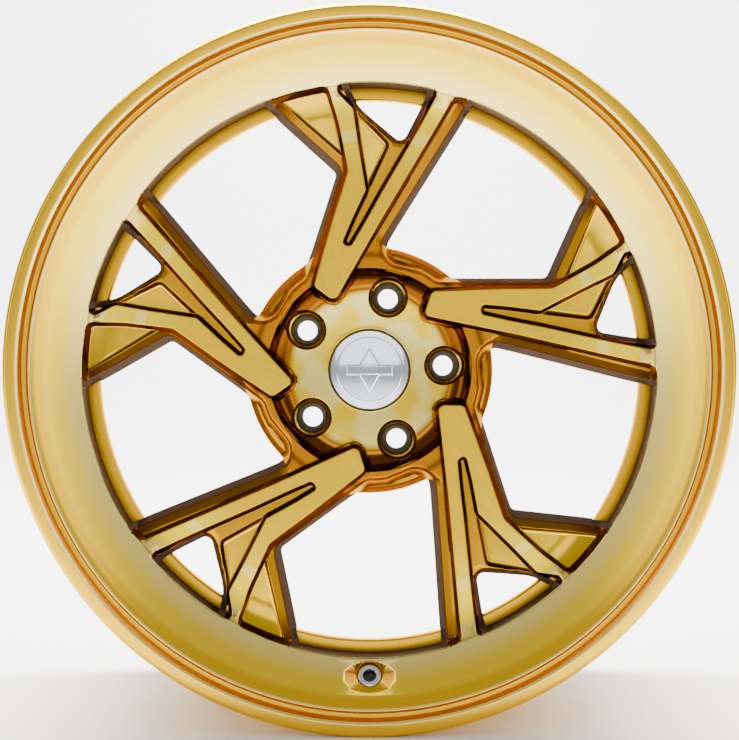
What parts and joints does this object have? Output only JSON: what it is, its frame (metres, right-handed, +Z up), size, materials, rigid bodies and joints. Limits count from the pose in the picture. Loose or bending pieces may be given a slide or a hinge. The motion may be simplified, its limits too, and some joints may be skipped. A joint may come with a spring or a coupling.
{
  "type": "forged wheel rim",
  "caption": "Gold forged car wheel rim with forked leaning spokes, a smooth deep lip, a bolted inner barrel, lug seats, a snap-in chrome centre cap and a flush valve.",
  "frame": {"origin": "on the wheel axis, halfway between the front and rear flange edges", "axes": "+Y along the wheel axis from the street side to the car side, +Z up with the valve hole at the bottom, +X to the right seen from the street side"},
  "size_m": [0.522, 0.239, 0.522],
  "materials": {
    "gold_forging": "brushed and gold anodised, satin spokes and a glossier lip",
    "gold_barrel": "turned and gold anodised",
    "black_rubber": "matt moulded rubber",
    "bolt_steel": "bright zinc plated",
    "seat_steel": "dark bronze coated, turned cone",
    "black_plastic": "moulded, fine satin grain",
    "cap_chrome": "mirror chrome plated",
    "spring_steel": "bright drawn",
    "valve_aluminium": "turned, clear anodised",
    "valve_brass": "turned brass"
  },
  "bodies": {
    "wheel": {"forged_face": "gold_forging", "inner_barrel": "gold_barrel", "barrel_seal": "black_rubber", "barrel_bolt_01": "bolt_steel", "barrel_bolt_02": "bolt_steel", "barrel_bolt_03": "bolt_steel", "barrel_bolt_04": "bolt_steel", "barrel_bolt_05": "bolt_steel", "barrel_bolt_06": "bolt_steel", "barrel_bolt_07": "bolt_steel", "barrel_bolt_08": "bolt_steel", "barrel_bolt_09": "bolt_steel", "barrel_bolt_10": "bolt_steel", "barrel_bolt_11": "bolt_steel", "barrel_bolt_12": "bolt_steel", "barrel_bolt_13": "bolt_steel", "barrel_bolt_14": "bolt_steel", "barrel_bolt_15": "bolt_steel", "barrel_bolt_16": "bolt_steel", "barrel_bolt_17": "bolt_steel", "barrel_bolt_18": "bolt_steel", "barrel_bolt_19": "bolt_steel", "barrel_bolt_20": "bolt_steel", "lug_seat_1": "seat_steel", "lug_seat_2": "seat_steel", "lug_seat_3": "seat_steel", "lug_seat_4": "seat_steel", "lug_seat_5": "seat_steel", "valve_stem": "valve_aluminium", "valve_grommet": "black_rubber", "valve_washer": "spring_steel", "valve_nut": "valve_aluminium", "valve_core": "valve_brass"},
    "centre_cap": {"cap_body": "black_plastic", "cap_badge": "cap_chrome", "cap_spring_ring": "spring_steel"},
    "valve_cap": {"valve_cap": "black_plastic"},
    "valve_pin": {"valve_core_pin": "valve_brass"}
  },
  "joints": [
    {"name": "cap_pull", "type": "slide", "parent": "wheel", "child": "centre_cap", "axis": [0, -1, 0], "range_m": [0, 0.06]},
    {"name": "valve_cap_off", "type": "slide", "parent": "wheel", "child": "valve_cap", "axis": [0, -0.8, 0.6], "range_m": [0, 0.02]},
    {"name": "valve_pin_press", "type": "slide", "parent": "wheel", "child": "valve_pin", "axis": [0, 0.8, -0.6], "range_m": [0, 0.0013], "stiffness_N_per_m": 300, "springref_m": -0.001}
  ]
}
